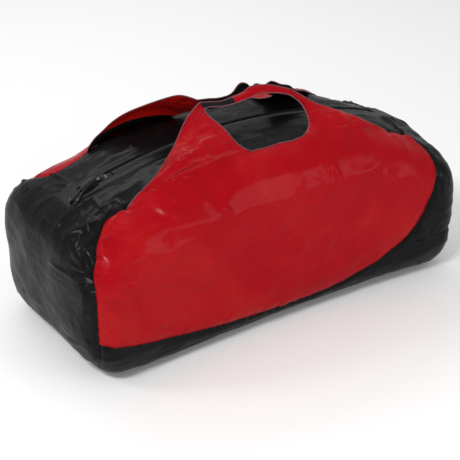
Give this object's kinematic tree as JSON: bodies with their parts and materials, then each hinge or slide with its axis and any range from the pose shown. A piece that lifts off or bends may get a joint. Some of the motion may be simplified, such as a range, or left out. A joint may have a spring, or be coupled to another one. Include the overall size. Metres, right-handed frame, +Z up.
{
  "type": "duffel bag",
  "caption": "Light packable duffel bag with a zipped top, rounded ends and two side panels that rise into carry handles.",
  "frame": {"origin": "on the floor under the middle of the bag", "axes": "+X along the bag, +Z up, -Y the front; the back is the front turned half a turn about Z"},
  "size_m": [0.6012, 0.2858, 0.3006],
  "materials": {
    "red_fabric": "thin coated ripstop nylon, semi gloss",
    "black_fabric": "thin coated ripstop nylon, semi gloss",
    "zip_tape": "woven, matte",
    "zip_coil": "nylon coil",
    "zip_metal": "black lacquer, satin",
    "cord": "braided, matte",
    "cord_knob": "satin",
    "binding": "folded tape, matte",
    "thread": "dense stitching, matte"
  },
  "bodies": {
    "bag": {"front_panel": "red_fabric", "back_panel": "red_fabric", "bottom_panel": "black_fabric", "left_end_panel": "black_fabric", "right_end_panel": "black_fabric", "top_left_panel": "black_fabric", "top_right_panel": "black_fabric", "left_zip_end": "zip_tape", "right_zip_end": "zip_tape", "left_zip_end_coil": "zip_coil", "right_zip_end_coil": "zip_coil", "left_zip_stop": "zip_metal", "right_zip_stop": "zip_metal", "bar_tacks": "thread"},
    "front_top": {"front_flap": "black_fabric", "front_zip_tape": "zip_tape", "front_zip_coil": "zip_coil"},
    "back_top": {"back_flap": "black_fabric", "back_zip_tape": "zip_tape", "back_zip_coil": "zip_coil"},
    "front_handle": {"front_handle_legs": "red_fabric", "front_handle_binding": "binding", "front_grip": "red_fabric"},
    "back_handle": {"back_handle_legs": "red_fabric", "back_handle_binding": "binding", "back_grip": "red_fabric"},
    "slider": {"slider_body": "zip_metal"},
    "pull": {"zip_pull": "zip_metal", "pull_cord_long": "cord", "pull_cord_short": "cord", "pull_cord_knots": "cord_knob"}
  },
  "joints": [
    {"name": "front_flap_open", "type": "hinge", "parent": "bag", "child": "front_top", "pos_m": [0, -0.08, 0.21], "axis": [-1, 0, 0], "range_deg": [0, 100]},
    {"name": "back_flap_open", "type": "hinge", "parent": "bag", "child": "back_top", "pos_m": [0, 0.08, 0.21], "axis": [1, 0, 0], "range_deg": [0, 100]},
    {"name": "front_handle_fold", "type": "hinge", "parent": "bag", "child": "front_handle", "pos_m": [0, -0.09, 0.24], "axis": [1, 0, 0], "range_deg": [0, 150]},
    {"name": "back_handle_fold", "type": "hinge", "parent": "bag", "child": "back_handle", "pos_m": [0, 0.09, 0.24], "axis": [-1, 0, 0], "range_deg": [0, 150]},
    {"name": "zip_travel", "type": "hinge", "parent": "bag", "child": "slider", "pos_m": [0, 0, -0.53], "axis": [0, 1, 0], "range_deg": [0, 30.48]},
    {"name": "pull_lift", "type": "hinge", "parent": "slider", "child": "pull", "pos_m": [-0.20528, 0, 0.22359], "axis": [0, 1, 0], "range_deg": [0, 150]}
  ]
}
